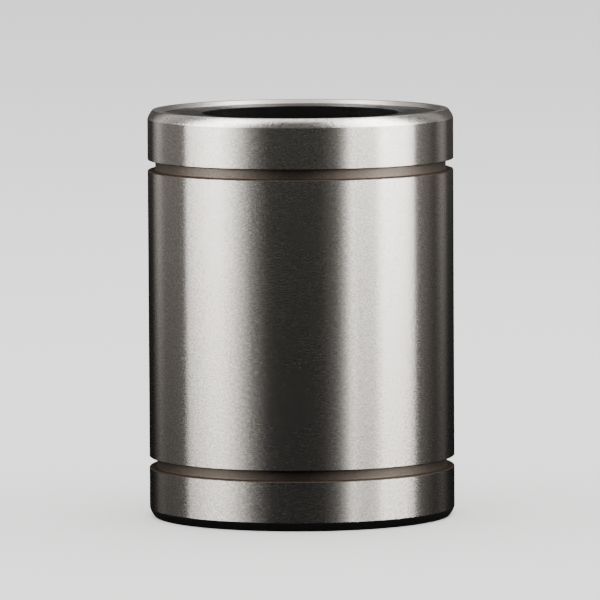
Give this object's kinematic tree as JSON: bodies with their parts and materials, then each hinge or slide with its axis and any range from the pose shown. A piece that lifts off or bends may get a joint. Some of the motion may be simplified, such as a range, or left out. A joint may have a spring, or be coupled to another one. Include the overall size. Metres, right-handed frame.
{
  "type": "linear ball bushing",
  "caption": "Cylindrical linear ball bushing: ground steel sleeve with two ring grooves, resin cage with recirculating ball circuits, and a lip seal at each end.",
  "frame": {"origin": "centre of the lower end face, on the bore's axis", "axes": "+Z along the bore from the lower to the upper end; +X and +Y across it, with the first loaded ball row 20 degrees from +X towards +Y"},
  "size_m": [0.06, 0.06, 0.08],
  "materials": {
    "sleeve_steel": "ground steel, fine circumferential grinding lines",
    "ball_steel": "polished bearing steel",
    "retainer_resin": "moulded, satin",
    "seal_rubber": "moulded, slightly oily",
    "core_steel": "pressed sheet",
    "spring_steel": "drawn wire"
  },
  "bodies": {
    "sleeve": {"outer_sleeve": "sleeve_steel", "ball_retainer": "retainer_resin", "upper_seal": "seal_rubber", "lower_seal": "seal_rubber", "upper_seal_core": "core_steel", "lower_seal_core": "core_steel", "upper_snap_ring": "spring_steel", "lower_snap_ring": "spring_steel"},
    "loaded_row_1": {"loaded_balls_1": "ball_steel"},
    "return_row_1": {"return_balls_1": "ball_steel"},
    "upper_turn_1": {"upper_turn_balls_1": "ball_steel"},
    "lower_turn_1": {"lower_turn_balls_1": "ball_steel"},
    "loaded_row_2": {"loaded_balls_2": "ball_steel"},
    "return_row_2": {"return_balls_2": "ball_steel"},
    "upper_turn_2": {"upper_turn_balls_2": "ball_steel"},
    "lower_turn_2": {"lower_turn_balls_2": "ball_steel"},
    "loaded_row_3": {"loaded_balls_3": "ball_steel"},
    "return_row_3": {"return_balls_3": "ball_steel"},
    "upper_turn_3": {"upper_turn_balls_3": "ball_steel"},
    "lower_turn_3": {"lower_turn_balls_3": "ball_steel"},
    "loaded_row_4": {"loaded_balls_4": "ball_steel"},
    "return_row_4": {"return_balls_4": "ball_steel"},
    "upper_turn_4": {"upper_turn_balls_4": "ball_steel"},
    "lower_turn_4": {"lower_turn_balls_4": "ball_steel"},
    "loaded_row_5": {"loaded_balls_5": "ball_steel"},
    "return_row_5": {"return_balls_5": "ball_steel"},
    "upper_turn_5": {"upper_turn_balls_5": "ball_steel"},
    "lower_turn_5": {"lower_turn_balls_5": "ball_steel"},
    "loaded_row_6": {"loaded_balls_6": "ball_steel"},
    "return_row_6": {"return_balls_6": "ball_steel"},
    "upper_turn_6": {"upper_turn_balls_6": "ball_steel"},
    "lower_turn_6": {"lower_turn_balls_6": "ball_steel"}
  },
  "joints": [
    {"name": "loaded_row_1_roll", "type": "slide", "parent": "sleeve", "child": "loaded_row_1", "axis": [0, 0, 1], "range_m": [-0.00314, 0.00314]},
    {"name": "return_row_1_roll", "type": "slide", "parent": "sleeve", "child": "return_row_1", "axis": [0, 0, 1], "range_m": [-0.00314, 0.00314]},
    {"name": "upper_turn_1_roll", "type": "hinge", "parent": "sleeve", "child": "upper_turn_1", "pos_m": [0.01994, 0.01151, 0.06857], "axis": [-0.9214, -0.363, 0.1392], "range_deg": [-45, 45]},
    {"name": "lower_turn_1_roll", "type": "hinge", "parent": "sleeve", "child": "lower_turn_1", "pos_m": [0.01994, 0.01151, 0.01143], "axis": [-0.9214, -0.363, -0.1392], "range_deg": [-45, 45]},
    {"name": "loaded_row_2_roll", "type": "slide", "parent": "sleeve", "child": "loaded_row_2", "axis": [0, 0, 1], "range_m": [-0.00314, 0.00314]},
    {"name": "return_row_2_roll", "type": "slide", "parent": "sleeve", "child": "return_row_2", "axis": [0, 0, 1], "range_m": [-0.00314, 0.00314]},
    {"name": "upper_turn_2_roll", "type": "hinge", "parent": "sleeve", "child": "upper_turn_2", "pos_m": [0, 0.02303, 0.06857], "axis": [-0.1463, -0.9794, 0.1392], "range_deg": [-45, 45]},
    {"name": "lower_turn_2_roll", "type": "hinge", "parent": "sleeve", "child": "lower_turn_2", "pos_m": [0, 0.02303, 0.01143], "axis": [-0.1463, -0.9794, -0.1392], "range_deg": [-45, 45]},
    {"name": "loaded_row_3_roll", "type": "slide", "parent": "sleeve", "child": "loaded_row_3", "axis": [0, 0, 1], "range_m": [-0.00314, 0.00314]},
    {"name": "return_row_3_roll", "type": "slide", "parent": "sleeve", "child": "return_row_3", "axis": [0, 0, 1], "range_m": [-0.00314, 0.00314]},
    {"name": "upper_turn_3_roll", "type": "hinge", "parent": "sleeve", "child": "upper_turn_3", "pos_m": [-0.01994, 0.01152, 0.06857], "axis": [0.775, -0.6164, 0.1392], "range_deg": [-45, 45]},
    {"name": "lower_turn_3_roll", "type": "hinge", "parent": "sleeve", "child": "lower_turn_3", "pos_m": [-0.01994, 0.01152, 0.01143], "axis": [0.775, -0.6164, -0.1392], "range_deg": [-45, 45]},
    {"name": "loaded_row_4_roll", "type": "slide", "parent": "sleeve", "child": "loaded_row_4", "axis": [0, 0, 1], "range_m": [-0.00314, 0.00314]},
    {"name": "return_row_4_roll", "type": "slide", "parent": "sleeve", "child": "return_row_4", "axis": [0, 0, 1], "range_m": [-0.00314, 0.00314]},
    {"name": "upper_turn_4_roll", "type": "hinge", "parent": "sleeve", "child": "upper_turn_4", "pos_m": [-0.01994, -0.01151, 0.06857], "axis": [0.9214, 0.363, 0.1392], "range_deg": [-45, 45]},
    {"name": "lower_turn_4_roll", "type": "hinge", "parent": "sleeve", "child": "lower_turn_4", "pos_m": [-0.01994, -0.01151, 0.01143], "axis": [0.9214, 0.363, -0.1392], "range_deg": [-45, 45]},
    {"name": "loaded_row_5_roll", "type": "slide", "parent": "sleeve", "child": "loaded_row_5", "axis": [0, 0, 1], "range_m": [-0.00314, 0.00314]},
    {"name": "return_row_5_roll", "type": "slide", "parent": "sleeve", "child": "return_row_5", "axis": [0, 0, 1], "range_m": [-0.00314, 0.00314]},
    {"name": "upper_turn_5_roll", "type": "hinge", "parent": "sleeve", "child": "upper_turn_5", "pos_m": [0, -0.02303, 0.06857], "axis": [0.1463, 0.9794, 0.1392], "range_deg": [-45, 45]},
    {"name": "lower_turn_5_roll", "type": "hinge", "parent": "sleeve", "child": "lower_turn_5", "pos_m": [0, -0.02303, 0.01143], "axis": [0.1463, 0.9794, -0.1392], "range_deg": [-45, 45]},
    {"name": "loaded_row_6_roll", "type": "slide", "parent": "sleeve", "child": "loaded_row_6", "axis": [0, 0, 1], "range_m": [-0.00314, 0.00314]},
    {"name": "return_row_6_roll", "type": "slide", "parent": "sleeve", "child": "return_row_6", "axis": [0, 0, 1], "range_m": [-0.00314, 0.00314]},
    {"name": "upper_turn_6_roll", "type": "hinge", "parent": "sleeve", "child": "upper_turn_6", "pos_m": [0.01994, -0.01152, 0.06857], "axis": [-0.775, 0.6164, 0.1392], "range_deg": [-45, 45]},
    {"name": "lower_turn_6_roll", "type": "hinge", "parent": "sleeve", "child": "lower_turn_6", "pos_m": [0.01994, -0.01152, 0.01143], "axis": [-0.775, 0.6164, -0.1392], "range_deg": [-45, 45]}
  ],
  "couplings": [
    {"joint": "return_row_1_roll", "follows": "loaded_row_1_roll", "ratio": -1},
    {"joint": "upper_turn_1_roll", "follows": "loaded_row_1_roll", "rad_per_m": 250},
    {"joint": "lower_turn_1_roll", "follows": "loaded_row_1_roll", "rad_per_m": 250},
    {"joint": "return_row_2_roll", "follows": "loaded_row_2_roll", "ratio": -1},
    {"joint": "upper_turn_2_roll", "follows": "loaded_row_2_roll", "rad_per_m": 250},
    {"joint": "lower_turn_2_roll", "follows": "loaded_row_2_roll", "rad_per_m": 250},
    {"joint": "return_row_3_roll", "follows": "loaded_row_3_roll", "ratio": -1},
    {"joint": "upper_turn_3_roll", "follows": "loaded_row_3_roll", "rad_per_m": 250},
    {"joint": "lower_turn_3_roll", "follows": "loaded_row_3_roll", "rad_per_m": 250},
    {"joint": "return_row_4_roll", "follows": "loaded_row_4_roll", "ratio": -1},
    {"joint": "upper_turn_4_roll", "follows": "loaded_row_4_roll", "rad_per_m": 250},
    {"joint": "lower_turn_4_roll", "follows": "loaded_row_4_roll", "rad_per_m": 250},
    {"joint": "return_row_5_roll", "follows": "loaded_row_5_roll", "ratio": -1},
    {"joint": "upper_turn_5_roll", "follows": "loaded_row_5_roll", "rad_per_m": 250},
    {"joint": "lower_turn_5_roll", "follows": "loaded_row_5_roll", "rad_per_m": 250},
    {"joint": "return_row_6_roll", "follows": "loaded_row_6_roll", "ratio": -1},
    {"joint": "upper_turn_6_roll", "follows": "loaded_row_6_roll", "rad_per_m": 250},
    {"joint": "lower_turn_6_roll", "follows": "loaded_row_6_roll", "rad_per_m": 250}
  ]
}
